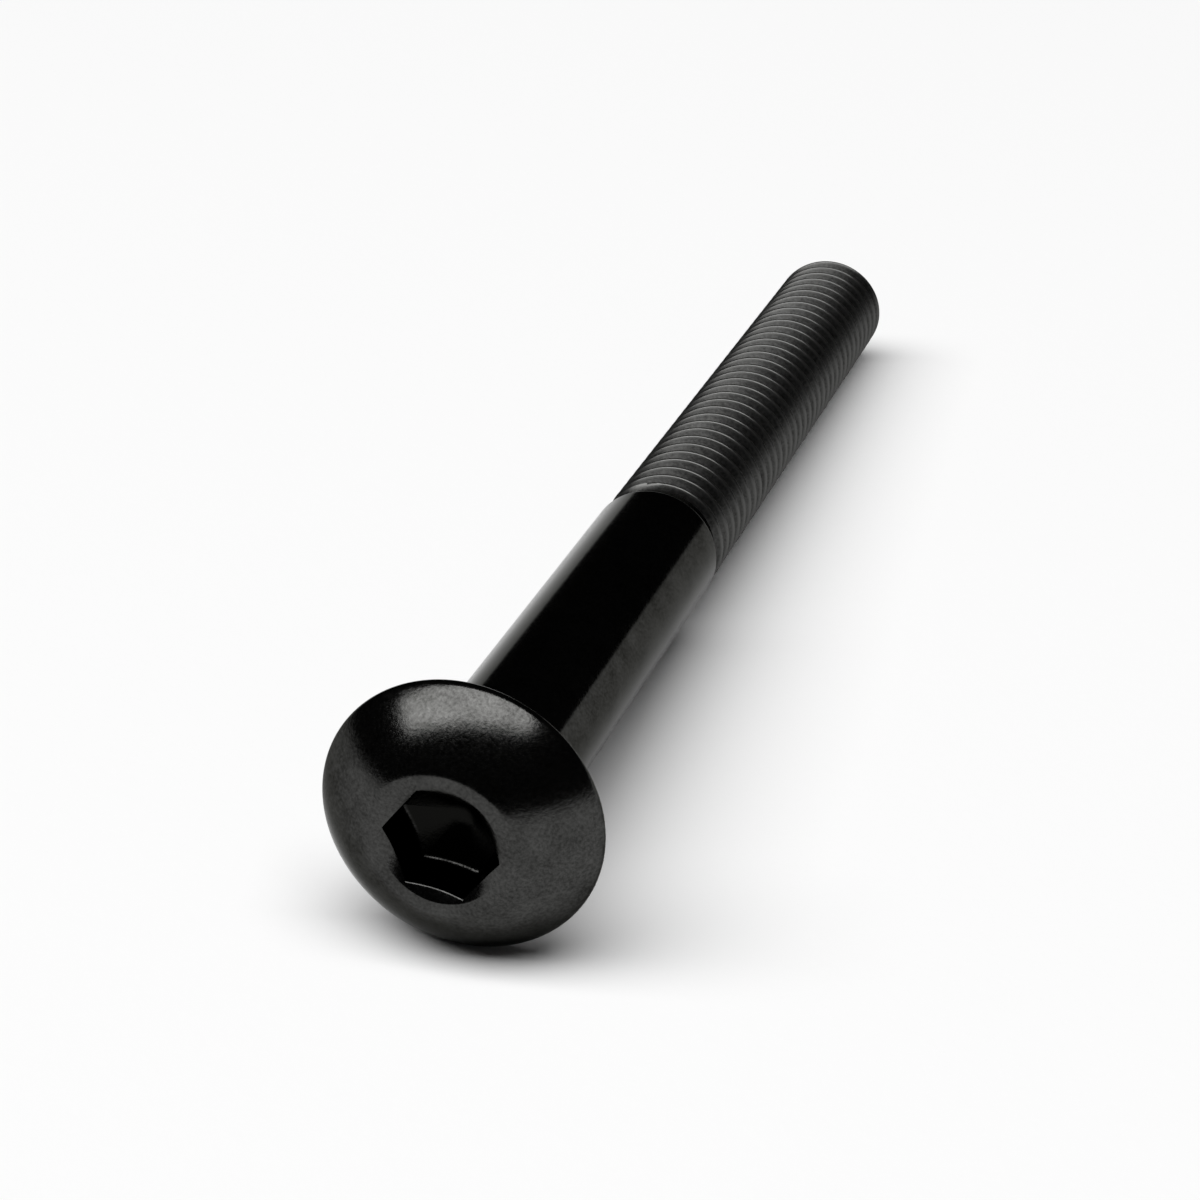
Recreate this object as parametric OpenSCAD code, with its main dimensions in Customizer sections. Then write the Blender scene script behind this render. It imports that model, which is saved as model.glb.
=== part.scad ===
// Button head socket screw with a partly threaded shank, lying on its side.
//
// Every form is drawn on the screw's own axis. The bearing face under the head is at
// height 0, the head rises above it, and the shank, the thread and the tip go down
// from it. lay_down() then puts the screw to rest on the rim of its head and on the
// last crest of its thread, with the centre of the bearing face at the origin.

/* [Head] */
// Diameter of the head
head_d = 5.7; // [4.75:0.05:6.85]
// Height of the head, from the bearing face to the flat crown
head_h = 1.4; // [1.2:0.05:2]
// Radius that rounds the rim, from the bearing face into the dome
rim_r = 0.18; // [0.08:0.01:0.3]
// Width of the flat ring between the socket's lead-in and the dome
crown_w = 0.24; // [0.1:0.01:0.4]
// Radius of the fillet between the bearing face and the shank
fillet_r = 0.12; // [0.05:0.01:0.2]

/* [Socket] */
// Width of the hexagon across its flats
socket_af = 2.02; // [1.6:0.01:2.45]
// Depth of the hexagon's flats below the crown
socket_depth = 1.04; // [0.8:0.01:1.3]
// Turn of the hexagon about the axis, from a corner in line with the thread's start
socket_turn = 30; // [0:1:59]
// How far the round lead-in reaches past the hexagon's corners
lead_in_w = 0.07; // [0.02:0.01:0.14]
// Angle of the lead-in's cone, side to side
lead_in_angle = 120; // [100:5:140]
// Angle of the cone that closes the floor, side to side
floor_angle = 140; // [130:1:175]

/* [Shank] */
// Length of the screw below the bearing face
screw_len = 30; // [16:1:45]
// Diameter of the plain shank
shank_d = 3; // [2.5:0.05:3.6]
// Length of the plain shank, from the bearing face to its shoulder
shank_len = 12.4; // [2:0.1:15]
// Slope of the shoulder from the axis, where the shank steps down to the neck
shoulder_angle = 30; // [15:5:60]

/* [Thread] */
// Outside diameter of the thread
thread_d = 2.92; // [2.42:0.02:3.52]
// Pitch of the thread
pitch = 0.5; // [0.4:0.05:0.6]
// Length of the bare neck between the shoulder and the first turn
neck_len = 0.15; // [0.05:0.05:1]
// Diameter of the flat end of the tip
tip_d = 2.2; // [1.6:0.05:2.3]
// Slope of the tip's chamfer from the axis
tip_angle = 45; // [30:5:60]

/* [Rest] */
// Turn of the screw about its own axis as it lies
rest_turn = 232; // [0:1:359]

/* [Hidden] */

// Steps round a full circle
$fn = 96;
// Flat facets in one turn of the thread
turn_steps = 24;
// How far one form runs into the next, or past what it cuts
overlap = 0.05;

// Radii of the hexagon's corners, of the lead-in's mouth and of the flat crown
corner_r = socket_af / sqrt(3);
mouth_r = corner_r + lead_in_w;
crown_r = mouth_r + crown_w;
// Height of the point of the floor's cone, which meets the middle of each flat at
// socket_depth
floor_z = head_h - socket_depth - socket_af / 2 / tan(floor_angle / 2);
// Distance from the axis to the centre of the rim's rounding
rim_centre_r = head_d / 2 - rim_r;

// The dome is part of a sphere on the axis. It passes through the crown's edge,
//     crown_r^2 + (head_h - dome_z)^2 = dome_r^2,
// and the rim's rounding touches it from inside,
//     rim_centre_r^2 + (rim_r - dome_z)^2 = (dome_r - rim_r)^2.
// Without dome_r that is a quadratic in dome_z, and its lower root is the dome's.
rise = 2 * (head_h - rim_r);
reach = crown_r^2 + head_h^2 - rim_centre_r^2;
quad_a = rise^2 - 4 * rim_r^2;
quad_b = 8 * rim_r^2 * head_h - 2 * reach * rise;
quad_c = reach^2 - 4 * rim_r^2 * (crown_r^2 + head_h^2);
dome_z = (-quad_b - sqrt(quad_b^2 - 4 * quad_a * quad_c)) / (2 * quad_a);
dome_r = norm([crown_r, head_h - dome_z]);
// Height at which the rounding runs into the dome
touch_z = dome_z + (rim_r - dome_z) * dome_r / (dome_r - rim_r);

// Half of a 60 degree thread's section over one pitch, as [radius, height]: a flat
// root a quarter of the pitch wide, a flank, a crest an eighth wide, and a flank
// that runs down to the next turn's root
thread_r = thread_d / 2;
crest_w = pitch / 8;
root_w = pitch / 4;
flank_w = (pitch - crest_w - root_w) / 2;
root_r = thread_r - flank_w / tan(30);
outline = [
    [root_r, 0],
    [root_r, root_w],
    [thread_r, root_w + flank_w],
    [thread_r, root_w + flank_w + crest_w]
];
corners = len(outline);

// The neck is as thick as the blank that the thread is rolled on
neck_r = (thread_r + root_r) / 2;
neck_top = shank_len + abs(shank_d / 2 - neck_r) / tan(shoulder_angle);
thread_top = neck_top + neck_len;
tip_len = (thread_r - tip_d / 2) / tan(tip_angle);

// At rest the floor is a straight line that touches the rim's rounding and the lowest
// crest, so the axis dips towards the tip by the angle between the two
rest_run = screw_len - tip_len + rim_r;
rest_drop = rim_centre_r - thread_r;
rest_tilt = atan2(rest_drop, rest_run) + asin(rim_r / norm([rest_run, rest_drop]));

// A cone that opens upwards from its point
module cone(angle, height) {
    cylinder(r1 = 0, r2 = height * tan(angle / 2), h = height);
}

// Bearing face, rounded rim, dome and flat crown
module head() {
    rotate_extrude() {
        square([rim_centre_r, touch_z]);
        translate([rim_centre_r, rim_r]) circle(r = rim_r);
        intersection() {
            translate([0, dome_z]) circle(r = dome_r);
            translate([0, touch_z]) square([head_d / 2, head_h - touch_z]);
        }
    }
}

// Hexagon with a round lead-in at its mouth, both closed by the floor's cone
module socket() {
    depth = head_h - floor_z;
    mouth_drop = mouth_r / tan(lead_in_angle / 2);
    translate([0, 0, floor_z]) intersection() {
        cone(floor_angle, depth + overlap);
        union() {
            rotate(socket_turn) cylinder(r = corner_r, h = depth + overlap, $fn = 6);
            translate([0, 0, depth - mouth_drop]) cone(lead_in_angle, mouth_drop + overlap);
        }
    }
}

// Fillet under the head, plain shank, shoulder and neck, and the thread's run-out,
// where the roots deepen from the neck over one pitch
module shank() {
    rotate_extrude() {
        polygon([
            [0, overlap],
            [shank_d / 2, overlap],
            [shank_d / 2, -shank_len],
            [neck_r, -neck_top],
            [neck_r, -thread_top],
            [root_r - overlap, -thread_top - pitch],
            [0, -thread_top - pitch]
        ]);
        difference() {
            translate([shank_d / 2 - overlap, -fillet_r]) square(fillet_r + overlap);
            translate([shank_d / 2 + fillet_r, -fillet_r]) circle(r = fillet_r);
        }
    }
}

// Corner k of the thread's outline after step j up the helix
function helix_point(j, k) =
    let (turn = j * 360 / turn_steps)
    [outline[k].x * cos(turn), outline[k].x * sin(turn), outline[k].y + pitch * turn / 360];

// A rod with a right-hand thread, at least as long as rod_len, standing on height 0.
// The outline is swept up the helix, and a fan from the axis closes each end.
module threaded_rod(rod_len) {
    steps = turn_steps * (ceil(rod_len / pitch) + 1);
    last = steps + turn_steps;
    foot = corners * (last + 1);
    top = foot + 1;
    // The corner after the last is the first corner of the turn above
    function at(j, k) = k < corners ? corners * j + k : corners * (j + turn_steps);
    points = concat(
        [for (j = [0:last], k = [0:corners - 1]) helix_point(j, k)],
        [[0, 0, -pitch], [0, 0, pitch * (last / turn_steps + 1)]]
    );
    flanks = [for (j = [0:steps - 1], k = [0:corners - 1]) each [
        [at(j, k), at(j, k + 1), at(j + 1, k + 1)],
        [at(j, k), at(j + 1, k + 1), at(j + 1, k)]
    ]];
    foot_fan = concat(
        [for (j = [0:turn_steps - 1]) [foot, at(j, 0), at(j + 1, 0)]],
        [for (k = [0:corners - 1]) [foot, at(0, k + 1), at(0, k)]]
    );
    top_fan = concat(
        [for (j = [steps:last - 1]) [top, at(j + 1, 0), at(j, 0)]],
        [for (k = [0:corners - 1]) [top, at(steps, k), at(steps, k + 1)]]
    );
    polyhedron(points, concat(flanks, foot_fan, top_fan));
}

// The thread fades in down a cone from the neck and ends in the tip's chamfer
module thread() {
    outer_r = thread_r + overlap;
    intersection() {
        translate([0, 0, -screw_len - pitch]) threaded_rod(screw_len - thread_top + pitch);
        rotate_extrude() polygon([
            [0, -thread_top],
            [neck_r, -thread_top],
            [outer_r, -thread_top - (outer_r - neck_r)],
            [outer_r, (outer_r - tip_d / 2) / tan(tip_angle) - screw_len],
            [tip_d / 2, -screw_len],
            [0, -screw_len]
        ]);
    }
}

// Turns the upright screw on its side, with the tip towards +X and on the floor. The
// chamfer cuts the last turn away along its helix, so rest_turn also sets how far from
// the tip the screw touches the floor, and so which way up it comes to rest.
module lay_down() {
    rotate([0, rest_tilt - 90, 0]) rotate(rest_turn) children();
}

module screw() {
    color("#1b1b1b") lay_down() {
        difference() {
            union() {
                head();
                shank();
            }
            socket();
        }
        thread();
    }
}

screw();
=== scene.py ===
"""A black button head socket screw that lies on a pale floor, in soft studio light."""

from math import asin, atan2, ceil, cos, hypot, pi, radians, sqrt, tan
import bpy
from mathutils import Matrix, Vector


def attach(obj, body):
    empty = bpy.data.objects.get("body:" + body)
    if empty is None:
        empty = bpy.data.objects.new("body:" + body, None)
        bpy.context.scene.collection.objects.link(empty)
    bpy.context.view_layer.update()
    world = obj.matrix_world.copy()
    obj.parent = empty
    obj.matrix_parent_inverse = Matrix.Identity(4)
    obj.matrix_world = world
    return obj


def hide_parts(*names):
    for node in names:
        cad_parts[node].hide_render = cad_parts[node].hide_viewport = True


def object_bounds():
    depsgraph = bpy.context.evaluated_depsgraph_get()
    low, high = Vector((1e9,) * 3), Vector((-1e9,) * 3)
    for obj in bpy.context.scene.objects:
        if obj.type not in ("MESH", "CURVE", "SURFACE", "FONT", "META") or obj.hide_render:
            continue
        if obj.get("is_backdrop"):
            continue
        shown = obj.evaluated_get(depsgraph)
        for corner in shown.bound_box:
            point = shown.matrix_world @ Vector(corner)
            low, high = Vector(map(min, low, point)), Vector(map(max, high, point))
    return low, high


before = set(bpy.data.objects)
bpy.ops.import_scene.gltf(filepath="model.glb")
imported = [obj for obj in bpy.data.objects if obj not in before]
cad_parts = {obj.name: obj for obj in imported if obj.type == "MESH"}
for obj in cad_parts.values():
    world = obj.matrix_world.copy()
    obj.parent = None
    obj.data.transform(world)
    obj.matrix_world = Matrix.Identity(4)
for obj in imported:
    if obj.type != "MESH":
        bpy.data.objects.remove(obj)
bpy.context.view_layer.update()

from types import SimpleNamespace

import bmesh
import bpy
from mathutils import Matrix, Vector

bl_info = {
    "name": "Button head socket screw",
    "version": (1, 0, 0),
    "blender": (4, 5, 0),
    "location": "3D View > Sidebar > Screw",
    "description": "Models a black oxide button head socket screw and the studio around it",
    "category": "Add Mesh",
}

# The meshes are drawn in millimetres and scaled to metres at the end
MM = 0.001
# Widths of the oxide's clouds and of its grain, and the depth of the grain
CLOUD_MM = 0.6
GRAIN_MM = 0.07
GRAIN_DEPTH_MM = 0.003
# Width and height of the fibres in the card underneath
FIBRE_MM = 0.3
FIBRE_DEPTH_MM = 0.004
# Points of one shape that lie closer than this, in millimetres, are the same point
SAME = 0.002
# Edges of a cut that are shorter than this, in millimetres, are slivers
SLIVER = 0.0005
# Widths of the edges' roundings, in millimetres: head, socket, shank and thread
CROWN_ROUND = 0.12
MOUTH_ROUND = 0.02
BROW_ROUND = 0.025
FOOT_ROUND = 0.1
SHOULDER_ROUND = 0.04
CREST_ROUND = 0.03
ROOT_ROUND = 0.05
TIP_ROUND = 0.03
# How far one form runs into the next, in millimetres: neck and core under the thread, and
# the thread's limits past the thread
NECK_OVERLAP = 0.02
CORE_OVERLAP = 0.05
LIMIT_OVERLAP = 0.1
# Steps round the plain forms, in one turn of the thread, along the arcs of the head's
# section, and round the floor
ROUND_STEPS = 144
TURN_STEPS = 96
DOME_STEPS = 24
RIM_STEPS = 10
FILLET_STEPS = 6
FLOOR_STEPS = 64
# Edges that turn by more than this stay sharp
SHARP_ANGLE = radians(35)
# Depths under the thread's crests, in millimetres, down to which the oxide is worn and at
# which it is whole again
WORN_DEPTH = 0.02
WHOLE_DEPTH = 0.07
# Depths under the socket's lead-in, in millimetres, at which the socket's painted shade sets in and is full
PAINTED_SHADE_DEPTH = 0.01
FULL_PAINTED_SHADE_DEPTH = 0.04
# Share of the grain in the oxide's mottle, with the clouds as the rest
GRAIN_SHARE = 0.7
# How much the grain changes the roughness, up or down
GRAIN_ROUGHNESS = 0.04
# Strength of the pits on the shank and the thread, where the head's is 1
SMOOTH_PITS = 0.2


def linear(colour):
    """An sRGB hex colour, such as "#1b1a19", as linear red, green and blue."""
    parts = [int(colour[i:i + 2], 16) / 255 for i in (1, 3, 5)]
    return [p / 12.92 if p <= 0.04045 else ((p + 0.055) / 1.055) ** 2.4 for p in parts]


def length(name, description, default_mm):
    """A length that a user can change, stored in metres."""
    return bpy.props.FloatProperty(
        name=name, description=description, default=default_mm * MM, min=0, unit="LENGTH", precision=5)


def angle(name, description, default_degrees):
    """An angle that a user can change, stored in radians."""
    return bpy.props.FloatProperty(
        name=name, description=description, default=radians(default_degrees), unit="ROTATION")


def tint(name, description, default):
    """A colour that a user can change."""
    return bpy.props.FloatVectorProperty(
        name=name, description=description, default=linear(default), subtype="COLOR", size=3, min=0, max=1)


def share(name, description, default):
    """A number from 0 to 1 that a user can change."""
    return bpy.props.FloatProperty(
        name=name, description=description, default=default, min=0, max=1, subtype="FACTOR")


class ScrewSizes(bpy.types.PropertyGroup):
    """Sizes of the screw, measured along and across its own axis."""

    head_d: length("Head", "Diameter of the head", 5.7)
    head_h: length("Head height", "From the bearing face to the flat crown", 1.4)
    rim_r: length("Rim", "Radius of the rounding between bearing face and dome", 0.18)
    crown_w: length("Crown", "Width of the flat ring round the socket", 0.24)
    fillet_r: length("Fillet", "Radius of the fillet under the head", 0.12)
    socket_af: length("Socket", "Width of the hexagon across its flats", 2.02)
    socket_depth: length("Socket depth", "Depth of the hexagon's flats below the crown", 1.04)
    socket_turn: angle("Socket turn", "Turn of the hexagon about the axis", 30)
    lead_in_w: length("Lead-in", "Reach of the socket's lead-in past its corners", 0.07)
    lead_in_angle: angle("Lead-in angle", "Angle of the lead-in's cone, side to side", 120)
    floor_angle: angle("Floor angle", "Angle of the socket floor's cone, side to side", 140)
    screw_len: length("Length", "Length of the screw below the bearing face", 30)
    shank_d: length("Shank", "Diameter of the plain shank", 3)
    shank_len: length("Shank length", "From the bearing face to the shoulder", 12.4)
    shoulder_angle: angle("Shoulder", "Slope of the shoulder from the axis", 30)
    thread_d: length("Thread", "Outside diameter of the thread", 2.92)
    pitch: length("Pitch", "Distance from one turn of the thread to the next", 0.5)
    neck_len: length("Neck", "Length of the bare neck before the first turn", 0.15)
    tip_d: length("Tip", "Diameter of the flat end", 2.2)
    tip_angle: angle("Tip angle", "Slope of the tip's chamfer from the axis", 45)
    rest_turn: angle("Rest turn", "Turn of the screw about its own axis as it lies", 232)


class OxideFinish(bpy.types.PropertyGroup):
    """Colours and gloss of the black oxide, with a darker colour painted into the socket as shade."""

    dark: tint("Dark oxide", "Colour where the oxide is thickest", "#2a2a29")
    light: tint("Light oxide", "Colour where the oxide is thin", "#494948")
    worn: tint("Worn oxide", "Colour on the thread's crests, where the oxide rubs thin", "#545453")
    # Painted shade: this darker colour inside the socket stands in for the shade in its recess
    recess_shade_tint: tint("Oiled oxide", "Colour inside the socket, which holds the oil", "#121211")
    edge: tint("Grazing tint", "Share of white light that a grazing view mirrors", "#b4b4b3")
    head_roughness: share("Head roughness", "Roughness of the forged head", 0.15)
    shank_roughness: share("Shank roughness", "Roughness of the drawn shank", 0.09)
    thread_roughness: share("Thread roughness", "Roughness of the rolled thread", 0.32)


class Studio(bpy.types.PropertyGroup):
    """Floor, lamp and camera."""

    floor: tint("Floor", "Colour of the matt floor", "#fafafa")
    floor_r: length("Floor radius", "Radius of the round floor", 6000)
    lamp_height: length("Lamp height", "Height of the softbox above the floor", 2500)
    lamp_back: length("Lamp back", "How far the softbox stands towards the camera, along -X", 900)
    lamp_left: length("Lamp left", "How far the softbox stands to the left, along +Y", 900)
    lamp_l: length("Lamp length", "Length of the softbox, across the screw", 4900)
    lamp_w: length("Lamp width", "Width of the softbox, along the screw", 1550)
    lamp_turn: angle("Lamp turn", "Turn of the softbox about the vertical", 11)
    room: tint("Room", "Colour of the dim room around the floor", "#282828")
    aim: bpy.props.FloatVectorProperty(
        name="Aim", description="Point at the middle of the picture",
        default=(0.008780, 0.000129, 0), unit="LENGTH", subtype="XYZ", precision=5)
    azimuth: angle("Azimuth", "Turn of the camera's line of sight from +X towards +Y", 17.77)
    elevation: angle("Elevation", "Height of the camera above the horizon", 28.50)
    distance: length("Distance", "From the camera to the aim", 59.324)
    lens: bpy.props.FloatProperty(
        name="Lens", description="Focal length for a 36 mm wide sensor", default=82.0, unit="CAMERA")


def sizes_in_mm(group):
    """The sizes as a name space, with lengths in millimetres, and what follows from them."""
    s = SimpleNamespace()
    for name, prop in group.bl_rna.properties.items():
        if name in group.__annotations__:
            value = getattr(group, name)
            setattr(s, name, value / MM if prop.unit == "LENGTH" else value)
    s.shank_r, s.thread_r, s.tip_r = s.shank_d / 2, s.thread_d / 2, s.tip_d / 2
    # Socket: radii of the hexagon's corners, the lead-in's mouth and the crown's edge
    s.corner_r = s.socket_af / sqrt(3)
    s.mouth_r = s.corner_r + s.lead_in_w
    s.crown_r = s.mouth_r + s.crown_w
    s.floor_z = s.head_h - s.socket_depth - s.socket_af / 2 / tan(s.floor_angle / 2)
    # Dome: a sphere through the crown's edge that touches the rim's rounding
    s.rim_centre_r = s.head_d / 2 - s.rim_r
    rise = 2 * (s.head_h - s.rim_r)
    reach = s.crown_r ** 2 + s.head_h ** 2 - s.rim_centre_r ** 2
    a = rise ** 2 - 4 * s.rim_r ** 2
    b = 8 * s.rim_r ** 2 * s.head_h - 2 * reach * rise
    c = reach ** 2 - 4 * s.rim_r ** 2 * (s.crown_r ** 2 + s.head_h ** 2)
    s.dome_z = (-b - sqrt(b ** 2 - 4 * a * c)) / (2 * a)
    # Thread: a 60 degree section with flat roots and crests
    s.crest_w, s.root_w = s.pitch / 8, s.pitch / 4
    s.flank_w = (s.pitch - s.crest_w - s.root_w) / 2
    s.root_r = s.thread_r - s.flank_w / tan(radians(30))
    s.neck_r = (s.thread_r + s.root_r) / 2
    s.neck_top = s.shank_len + abs(s.shank_r - s.neck_r) / tan(s.shoulder_angle)
    s.thread_top = s.neck_top + s.neck_len
    # Rest: the floor touches the rim's rounding and the last full crest
    run = s.screw_len - (s.thread_r - s.tip_r) / tan(s.tip_angle) + s.rim_r
    drop = s.rim_centre_r - s.thread_r
    s.rest_tilt = atan2(drop, run) + asin(s.rim_r / hypot(run, drop))
    return s


class Pen:
    """Draws a section as a chain of edges, where x is the radius and z the height."""

    def __init__(self, bm, r, z):
        self.bm = bm
        self.tip = bmesh.ops.create_vert(bm, co=(r, 0, z))["vert"][0]

    def line(self, r, z):
        self.tip = bmesh.ops.extrude_vert_indiv(self.bm, verts=[self.tip])["verts"][0]
        self.tip.co = (r, 0, z)
        return self.tip

    def arc(self, r, z, turn, steps):
        """An arc about the point r, z, anticlockwise for a positive turn."""
        made = bmesh.ops.spin(
            self.bm, geom=[self.tip], cent=(r, 0, z), axis=(0, -1, 0), angle=turn, steps=steps)
        self.tip = next(v for v in made["geom_last"] if isinstance(v, bmesh.types.BMVert))


def round_corners(bm, corners, width, steps=2):
    """Rounds these corners of a section."""
    bmesh.ops.bevel(
        bm, geom=corners, offset=width, offset_type="OFFSET", affect="VERTICES",
        segments=steps, profile=0.5, material=-1, clamp_overlap=True)


def spin_section(bm, steps):
    """Turns the section in bm round the axis into a closed skin."""
    bmesh.ops.spin(
        bm, geom=bm.verts[:] + bm.edges[:], cent=(0, 0, 0), axis=(0, 0, 1),
        angle=2 * pi, steps=steps, use_merge=True)
    bmesh.ops.remove_doubles(bm, verts=bm.verts, dist=SAME)
    bmesh.ops.recalc_face_normals(bm, faces=bm.faces)


def to_object(bm, name):
    """Makes the bmesh an object in the scene."""
    mesh = bpy.data.meshes.new(name)
    bm.to_mesh(mesh)
    bm.free()
    made = bpy.data.objects.new(name, mesh)
    bpy.context.scene.collection.objects.link(made)
    return made


def combine(piece, other, operation):
    """Leaves piece as its union or intersection with other, and removes other.

    Slivers along the cut are closed up, and the result has to be a closed skin.
    """
    step = piece.modifiers.new("combine", "BOOLEAN")
    step.operation = operation
    step.solver = "MANIFOLD"
    step.object = other
    depsgraph = bpy.context.evaluated_depsgraph_get()
    result = bpy.data.meshes.new_from_object(piece.evaluated_get(depsgraph))
    skin = bmesh.new()
    skin.from_mesh(result)
    bmesh.ops.dissolve_degenerate(skin, dist=SLIVER, edges=skin.edges)
    bmesh.ops.remove_doubles(skin, verts=skin.verts, dist=SLIVER)
    closed = all(edge.is_manifold for edge in skin.edges)
    skin.to_mesh(result)
    skin.free()
    if not result.polygons or not closed:
        raise RuntimeError("%s gives no closed skin for %s" % (operation, piece.name))
    piece.modifiers.clear()
    spare = [piece.data, other.data]
    piece.data = result
    bpy.data.objects.remove(other)
    for mesh in spare:
        bpy.data.meshes.remove(mesh)


def hexagon_r(s, turn):
    """Distance from the axis to the hexagon's wall in this direction."""
    from_flat = (turn - s.socket_turn) % (pi / 3) - pi / 6
    return s.socket_af / 2 / cos(from_flat)


def head_and_shank(s):
    """One skin from the socket's floor over the head and down the shank into the thread's core."""
    bm = bmesh.new()
    rounding = bm.verts.layers.float.new("rounding")
    pen = Pen(bm, 0, s.floor_z)
    pen.line(s.corner_r / 4, s.floor_z + s.corner_r / 4 / tan(s.floor_angle / 2))
    foot = pen.line(s.corner_r, s.floor_z + s.corner_r / tan(s.floor_angle / 2))
    pen.line(s.corner_r, s.head_h - s.lead_in_w / tan(s.lead_in_angle / 2))
    mouth = pen.line(s.mouth_r, s.head_h)
    crown = pen.line(s.crown_r, s.head_h)
    dome_start = atan2(s.head_h - s.dome_z, s.crown_r)
    dome_end = atan2(s.rim_r - s.dome_z, s.rim_centre_r)
    pen.arc(0, s.dome_z, dome_end - dome_start, DOME_STEPS)
    pen.arc(s.rim_centre_r, s.rim_r, -dome_end - pi / 2, RIM_STEPS)
    pen.line(s.shank_r + s.fillet_r, 0)
    pen.arc(s.shank_r + s.fillet_r, -s.fillet_r, pi / 2, FILLET_STEPS)
    shoulder = pen.line(s.shank_r, -s.shank_len)
    neck = pen.line(s.neck_r, -s.neck_top)
    # The neck runs a little way under the first turn, so that the two skins cross cleanly
    pen.line(s.neck_r, -s.thread_top - NECK_OVERLAP)
    pen.line(s.root_r - CORE_OVERLAP, -s.thread_top - s.pitch)
    pen.line(0, -s.thread_top - s.pitch)
    foot_z = foot.co.z
    round_corners(bm, [mouth], MOUTH_ROUND)
    round_corners(bm, [crown], CROWN_ROUND, steps=4)
    round_corners(bm, [shoulder, neck], SHOULDER_ROUND)
    spin_section(bm, ROUND_STEPS)
    # The two round rings of the socket's wall are pushed in to the hexagon: the foot, where
    # the wall meets the floor, and the brow, where it meets the lead-in
    foot_ring, brow_ring = [], []
    for v in bm.verts:
        if abs(hypot(v.co.x, v.co.y) - s.corner_r) < SAME and v.co.z > foot_z - SAME:
            r = hexagon_r(s, atan2(v.co.y, v.co.x))
            v.co *= r / s.corner_r
            if abs(v.co.z * s.corner_r / r - foot_z) < SAME:
                v.co.z = s.floor_z + r / tan(s.floor_angle / 2)
                foot_ring.append(v)
            else:
                v.co.z = s.head_h - (s.mouth_r - r) / tan(s.lead_in_angle / 2)
                brow_ring.append(v)
    for ring, width in ((foot_ring, FOOT_ROUND), (brow_ring, BROW_ROUND)):
        edges = [e for e in {e for v in ring for e in v.link_edges} if set(e.verts) <= set(ring)]
        made = bmesh.ops.bevel(
            bm, geom=edges, offset=width, offset_type="OFFSET", affect="EDGES",
            segments=2, profile=0.5, material=-1, clamp_overlap=True)
        # The material finds the middle of each rounding by this mark
        for v in made["verts"]:
            v[rounding] = float(set(v.link_faces) <= set(made["faces"]))
    return to_object(bm, "button_head_screw")


def threaded_rod(s):
    """A rod with a right-hand thread, longer than the screw's own at both ends."""
    bm = bmesh.new()
    start = -s.screw_len - 2 * s.pitch + s.root_w / 2
    turns = ceil((-s.thread_top + s.pitch - start) / s.pitch) + 1
    pen = Pen(bm, s.root_r, start)
    corners = [
        pen.line(s.root_r, start + s.root_w / 2),
        pen.line(s.thread_r, start + s.root_w / 2 + s.flank_w),
        pen.line(s.thread_r, start + s.root_w / 2 + s.flank_w + s.crest_w),
        pen.line(s.root_r, start + s.pitch - s.root_w / 2),
    ]
    pen.line(s.root_r, start + s.pitch)
    round_corners(bm, corners[1:3], CREST_ROUND, steps=3)
    round_corners(bm, [corners[0], corners[3]], ROOT_ROUND)
    # One turn is swept, and the rod is doubled until it is long enough
    bmesh.ops.spin(
        bm, geom=bm.verts[:] + bm.edges[:], cent=(0, 0, 0), axis=(0, 0, 1),
        dvec=(0, 0, s.pitch / TURN_STEPS), angle=2 * pi, steps=TURN_STEPS)
    done = 1
    while done < turns:
        copy = bmesh.ops.duplicate(bm, geom=bm.verts[:] + bm.edges[:] + bm.faces[:])
        bmesh.ops.translate(
            bm, verts=[v for v in copy["geom"] if isinstance(v, bmesh.types.BMVert)],
            vec=(0, 0, done * s.pitch))
        done *= 2
    bmesh.ops.remove_doubles(bm, verts=bm.verts, dist=SAME)
    # Both ends are cut flat and closed
    for height, out in ((-s.screw_len - s.pitch / 2, -1), (-s.thread_top + s.pitch / 2, 1)):
        cut = bmesh.ops.bisect_plane(
            bm, geom=bm.verts[:] + bm.edges[:] + bm.faces[:], dist=SAME / 10,
            plane_co=(0, 0, height), plane_no=(0, 0, out), clear_outer=True)
        bmesh.ops.edgeloop_fill(
            bm, edges=[e for e in cut["geom_cut"] if isinstance(e, bmesh.types.BMEdge)])
    bmesh.ops.recalc_face_normals(bm, faces=bm.faces)
    return to_object(bm, "rod")


def thread_limits(s):
    """The round form that the thread fills: it fades in at the neck and ends in the tip's chamfer."""
    bm = bmesh.new()
    outer_r = s.thread_r + LIMIT_OVERLAP
    pen = Pen(bm, 0, -s.thread_top + LIMIT_OVERLAP)
    pen.line(s.neck_r - LIMIT_OVERLAP, -s.thread_top + LIMIT_OVERLAP)
    pen.line(outer_r, -s.thread_top - (outer_r - s.neck_r))
    pen.line(outer_r, (outer_r - s.tip_r) / tan(s.tip_angle) - s.screw_len)
    edge = pen.line(s.tip_r, -s.screw_len)
    pen.line(0, -s.screw_len)
    round_corners(bm, [edge], TIP_ROUND)
    spin_section(bm, ROUND_STEPS)
    return to_object(bm, "limits")


def add_node(tree, kind, inputs=(), **settings):
    """Adds a node with its settings. inputs gives sockets a value, or another node's output."""
    made = tree.nodes.new(kind)
    for name, value in settings.items():
        setattr(made, name, value)
    for socket, value in dict(inputs).items():
        if isinstance(value, bpy.types.NodeSocket):
            tree.links.new(value, made.inputs[socket])
        else:
            made.inputs[socket].default_value = value
    return made


def new_material(name):
    """An empty material and its node tree."""
    material = bpy.data.materials.new(name)
    material.use_nodes = True
    material.node_tree.nodes.clear()
    return material, material.node_tree


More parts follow.
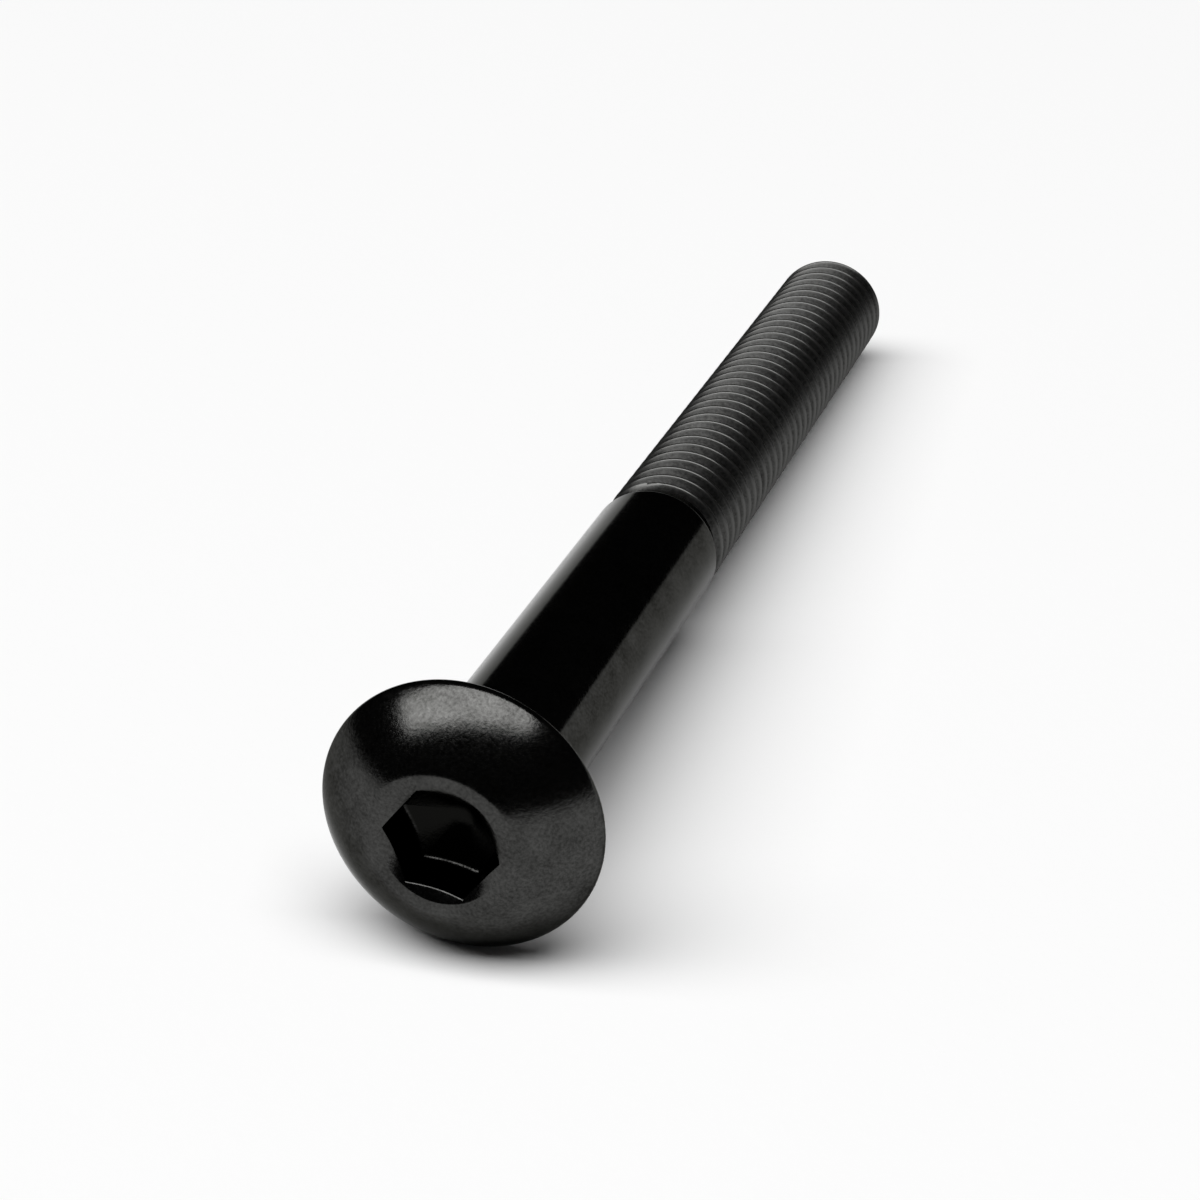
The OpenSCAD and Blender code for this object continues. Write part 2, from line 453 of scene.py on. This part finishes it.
def black_oxide(finish, s, lay_down):
    """Black oxide on cold forged and rolled steel.

    A hot oxide bath turns the outermost micron of the steel into black magnetite, and a
    rust-preventive film seals it. It mirrors like dark metal: a soft lamp stands in it as a grey
    patch, and what is dim around it as deep black. Grazing views mirror more. The forged head has a
    fine grain, the drawn shank is smooth, and the rolled thread is dull with lighter crests. The
    socket is painted darker, as shade in its recess, except in patches along the middle of its
    edges' roundings, where the painted shade is left off so that their glints stay bright.
    """
    material, tree = new_material("black_oxide_steel")
    place = add_node(tree, "ShaderNodeTexCoord").outputs["Object"]
    # The screw's own upright frame, in millimetres
    upright = add_node(tree, "ShaderNodeMapping", {
        "Vector": place, "Rotation": lay_down.inverted().to_euler(), "Scale": (1 / MM,) * 3})
    own = add_node(tree, "ShaderNodeSeparateXYZ", {"Vector": upright.outputs["Vector"]})
    flat = add_node(tree, "ShaderNodeCombineXYZ", {"X": own.outputs["X"], "Y": own.outputs["Y"]})
    radius = add_node(tree, "ShaderNodeVectorMath", {0: flat.outputs["Vector"]}, operation="LENGTH")
    # Each is 1 in its own zone and 0 elsewhere: thread, head, thread's crests and socket
    rolled = add_node(tree, "ShaderNodeMapRange", {
        "Value": own.outputs["Z"], "From Min": -s.neck_top, "From Max": -s.thread_top})
    forged = add_node(tree, "ShaderNodeMapRange", {
        "Value": own.outputs["Z"], "From Min": -2 * s.fillet_r, "From Max": 0.0})
    outer = add_node(tree, "ShaderNodeMapRange", {
        "Value": radius.outputs["Value"],
        "From Min": s.thread_r - WHOLE_DEPTH, "From Max": s.thread_r - WORN_DEPTH})
    crest = add_node(tree, "ShaderNodeMath", {
        0: outer.outputs["Result"], 1: rolled.outputs["Result"]}, operation="MULTIPLY")
    # The socket lies inside its mouth and under the cone of the lead-in; its recess gets painted shade
    inner = add_node(tree, "ShaderNodeMath", {
        0: radius.outputs["Value"], 1: s.mouth_r}, operation="LESS_THAN")
    lead_in = add_node(tree, "ShaderNodeMapRange", {
        "Value": radius.outputs["Value"], "From Min": 0.0, "From Max": s.mouth_r,
        "To Min": s.head_h - s.mouth_r / tan(s.lead_in_angle / 2), "To Max": s.head_h})
    below = add_node(tree, "ShaderNodeMath", {
        0: lead_in.outputs["Result"], 1: own.outputs["Z"]}, operation="SUBTRACT")
    deep = add_node(tree, "ShaderNodeMapRange", {
        "Value": below.outputs["Value"], "From Min": PAINTED_SHADE_DEPTH, "From Max": FULL_PAINTED_SHADE_DEPTH,
        "To Max": inner.outputs["Value"]})
    socket = add_node(tree, "ShaderNodeMath", {
        0: deep.outputs["Result"], 1: forged.outputs["Result"]}, operation="MULTIPLY")
    # 1 along the middle of the roundings in the socket, and 0 at their edges and elsewhere
    rounding = add_node(tree, "ShaderNodeAttribute", attribute_name="rounding")
    # Clouds in the oxide's thickness. The crystals are a few microns wide, too fine to
    # show, so the grain is drawn as wide as the pits that forging leaves.
    cloud = add_node(tree, "ShaderNodeTexNoise", {
        "Vector": upright.outputs["Vector"], "Scale": 1 / CLOUD_MM, "Detail": 3.0})
    grain = add_node(tree, "ShaderNodeTexNoise", {
        "Vector": upright.outputs["Vector"], "Scale": 1 / GRAIN_MM, "Detail": 4.0, "Roughness": 0.7})
    mottle = add_node(tree, "ShaderNodeMix", {
        "Factor": GRAIN_SHARE, "A": cloud.outputs["Fac"], "B": grain.outputs["Fac"]})
    # Noise keeps mostly to the middle of its range, which is spread out here and below
    thickness = add_node(tree, "ShaderNodeMapRange", {
        "Value": mottle.outputs[0], "From Min": 0.35, "From Max": 0.65})
    colour = add_node(tree, "ShaderNodeMix", {
        "Factor": thickness.outputs["Result"], "A": (*finish.dark, 1), "B": (*finish.light, 1)},
        data_type="RGBA")
    rubbed = add_node(tree, "ShaderNodeMix", {
        "Factor": crest.outputs["Value"], "A": colour.outputs[2], "B": (*finish.worn, 1)},
        data_type="RGBA")
    # The painted shade is left off the middle of the socket's roundings in patches, so that their glints
    # stay bright
    bare = add_node(tree, "ShaderNodeMath", {
        0: rounding.outputs["Fac"], 1: thickness.outputs["Result"]}, operation="MULTIPLY")
    socket_shade = add_node(tree, "ShaderNodeMath", {
        0: socket.outputs["Value"], 1: bare.outputs["Value"]}, operation="SUBTRACT", use_clamp=True)
    # Painted shade: the socket's darker colour is mixed in here
    reflected = add_node(tree, "ShaderNodeMix", {
        "Factor": socket_shade.outputs["Value"], "A": rubbed.outputs[2], "B": (*finish.recess_shade_tint, 1)},
        data_type="RGBA")
    drawn = add_node(tree, "ShaderNodeMix", {
        "Factor": forged.outputs["Result"], "A": finish.shank_roughness, "B": finish.head_roughness})
    smooth = add_node(tree, "ShaderNodeMix", {
        "Factor": rolled.outputs["Result"], "A": drawn.outputs[0], "B": finish.thread_roughness})
    spread = add_node(tree, "ShaderNodeMapRange", {
        "Value": grain.outputs["Fac"], "From Min": 0.3, "From Max": 0.7,
        "To Min": -GRAIN_ROUGHNESS, "To Max": GRAIN_ROUGHNESS})
    roughness = add_node(tree, "ShaderNodeMath", {
        0: smooth.outputs[0], 1: spread.outputs["Result"]}, operation="ADD")
    # The forged head is pitted, and the drawn and rolled parts only faintly
    pits = add_node(tree, "ShaderNodeMapRange", {
        "Value": forged.outputs["Result"], "To Min": SMOOTH_PITS, "To Max": 1.0})
    bump = add_node(tree, "ShaderNodeBump", {
        "Height": grain.outputs["Fac"], "Distance": GRAIN_DEPTH_MM * MM,
        "Strength": pits.outputs["Result"]})
    shader = add_node(tree, "ShaderNodeBsdfPrincipled", {
        "Base Color": reflected.outputs[2], "Metallic": 1.0, "Specular Tint": (*finish.edge, 1),
        "Roughness": roughness.outputs["Value"], "Normal": bump.outputs["Normal"]})
    add_node(tree, "ShaderNodeOutputMaterial", {"Surface": shader.outputs["BSDF"]})
    return material


def matt_card(studio):
    """Uncoated white card: matt, with a faint tooth from its fibres."""
    material, tree = new_material("matt_card")
    place = add_node(tree, "ShaderNodeTexCoord").outputs["Object"]
    fibres = add_node(tree, "ShaderNodeTexNoise", {
        "Vector": place, "Scale": 1 / (FIBRE_MM * MM), "Detail": 2.0})
    tooth = add_node(tree, "ShaderNodeBump", {
        "Height": fibres.outputs["Fac"], "Distance": FIBRE_DEPTH_MM * MM, "Strength": 1.0})
    shader = add_node(tree, "ShaderNodeBsdfPrincipled", {
        "Base Color": (*studio.floor, 1), "Roughness": 0.9, "Specular IOR Level": 0.1,
        "Normal": tooth.outputs["Normal"]})
    add_node(tree, "ShaderNodeOutputMaterial", {"Surface": shader.outputs["BSDF"]})
    return material


class SCREW_OT_make_screw(bpy.types.Operator):
    """Models the screw, gives it its finish and lays it down"""

    bl_idname = "screw.make_screw"
    bl_label = "Make screw"

    def execute(self, context):
        s = sizes_in_mm(context.scene.screw_sizes)
        thread = threaded_rod(s)
        combine(thread, thread_limits(s), "INTERSECT")
        piece = head_and_shank(s)
        combine(piece, thread, "UNION")
        lay_down = Matrix.Rotation(s.rest_tilt - pi / 2, 4, "Y") @ Matrix.Rotation(s.rest_turn, 4, "Z")
        piece.data.transform(Matrix.Scale(MM, 4) @ lay_down)
        piece.data.shade_smooth()
        piece.data.set_sharp_from_angle(angle=SHARP_ANGLE)
        piece.data.materials.clear()
        piece.data.materials.append(black_oxide(context.scene.screw_finish, s, lay_down))
        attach(piece, "root")
        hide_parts("screw")
        return {"FINISHED"}


class SCREW_OT_make_studio(bpy.types.Operator):
    """Sets up the pale floor, the softbox, the dim room and the camera"""

    bl_idname = "screw.make_studio"
    bl_label = "Make studio"

    def seen_share(self, studio, steps=40):
        """The share of an even sky's light that the softbox gives the floor at unit radiance."""
        total = 0
        turn = Matrix.Rotation(studio.lamp_turn, 2)
        for i in range(steps):
            for j in range(steps):
                spot = turn @ Vector((
                    ((i + 0.5) / steps - 0.5) * studio.lamp_w, ((j + 0.5) / steps - 0.5) * studio.lamp_l))
                spot += Vector((-studio.lamp_back, studio.lamp_left))
                total += (1 + spot.length_squared / studio.lamp_height ** 2) ** -2
        return total / steps ** 2 * studio.lamp_w * studio.lamp_l / studio.lamp_height ** 2 / pi

    def execute(self, context):
        scene, studio = context.scene, context.scene.screw_studio
        floor_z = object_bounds()[0].z
        bm = bmesh.new()
        bmesh.ops.create_circle(bm, cap_ends=True, segments=FLOOR_STEPS, radius=studio.floor_r)
        bmesh.ops.translate(bm, verts=bm.verts, vec=(0, 0, floor_z))
        floor = to_object(bm, "floor")
        floor.data.materials.append(matt_card(studio))
        floor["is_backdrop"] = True

        # The softbox has one radiance all over. Its power makes it light the floor under
        # the screw so that the floor renders as its own colour.
        lamp = bpy.data.lights.new("softbox", "AREA")
        lamp.shape = "RECTANGLE"
        lamp.size, lamp.size_y = studio.lamp_w, studio.lamp_l
        lamp.energy = pi * studio.lamp_w * studio.lamp_l / self.seen_share(studio)
        box = bpy.data.objects.new("softbox", lamp)
        box.location = (
            studio.aim[0] - studio.lamp_back, studio.aim[1] + studio.lamp_left, floor_z + studio.lamp_height)
        box.rotation_euler.z = studio.lamp_turn
        scene.collection.objects.link(box)

        world = bpy.data.worlds.new("room")
        world.use_nodes = True
        world.node_tree.nodes.clear()
        light = add_node(world.node_tree, "ShaderNodeBackground", {"Color": (*studio.room, 1)})
        add_node(world.node_tree, "ShaderNodeOutputWorld", {"Surface": light.outputs["Background"]})
        scene.world = world

        lens = bpy.data.cameras.new("camera")
        lens.lens = studio.lens
        lens.sensor_width = 36
        # What is drawn lies from 1 mm to 20 m away
        lens.clip_start, lens.clip_end = MM, 20
        camera = bpy.data.objects.new("camera", lens)
        aimed = Matrix.Rotation(studio.azimuth, 3, "Z") @ Matrix.Rotation(studio.elevation, 3, "Y")
        sight = aimed @ Vector((1, 0, 0))
        camera.location = Vector(studio.aim) - sight * studio.distance
        camera.rotation_euler = sight.to_track_quat("-Z", "Y").to_euler()
        scene.collection.objects.link(camera)
        scene.camera = camera
        scene.view_settings.view_transform = "Standard"
        return {"FINISHED"}


class SCREW_PT_panel(bpy.types.Panel):
    """Lists what the screw and its studio are made of"""

    bl_label = "Button head screw"
    bl_idname = "SCREW_PT_panel"
    bl_space_type = "VIEW_3D"
    bl_region_type = "UI"
    bl_category = "Screw"

    def draw(self, context):
        for group, operator in (
                ("screw_sizes", "screw.make_screw"),
                ("screw_finish", None),
                ("screw_studio", "screw.make_studio")):
            settings = getattr(context.scene, group)
            column = self.layout.column(align=True)
            for name in settings.__annotations__:
                column.prop(settings, name)
            if operator:
                column.operator(operator)


CLASSES = (ScrewSizes, OxideFinish, Studio, SCREW_OT_make_screw, SCREW_OT_make_studio, SCREW_PT_panel)


def register():
    for cls in CLASSES:
        bpy.utils.register_class(cls)
    bpy.types.Scene.screw_sizes = bpy.props.PointerProperty(type=ScrewSizes)
    bpy.types.Scene.screw_finish = bpy.props.PointerProperty(type=OxideFinish)
    bpy.types.Scene.screw_studio = bpy.props.PointerProperty(type=Studio)


def unregister():
    del bpy.types.Scene.screw_studio
    del bpy.types.Scene.screw_finish
    del bpy.types.Scene.screw_sizes
    for cls in reversed(CLASSES):
        bpy.utils.unregister_class(cls)


def main():
    register()
    bpy.ops.screw.make_screw()
    bpy.ops.screw.make_studio()


if __name__ == "__main__":
    main()
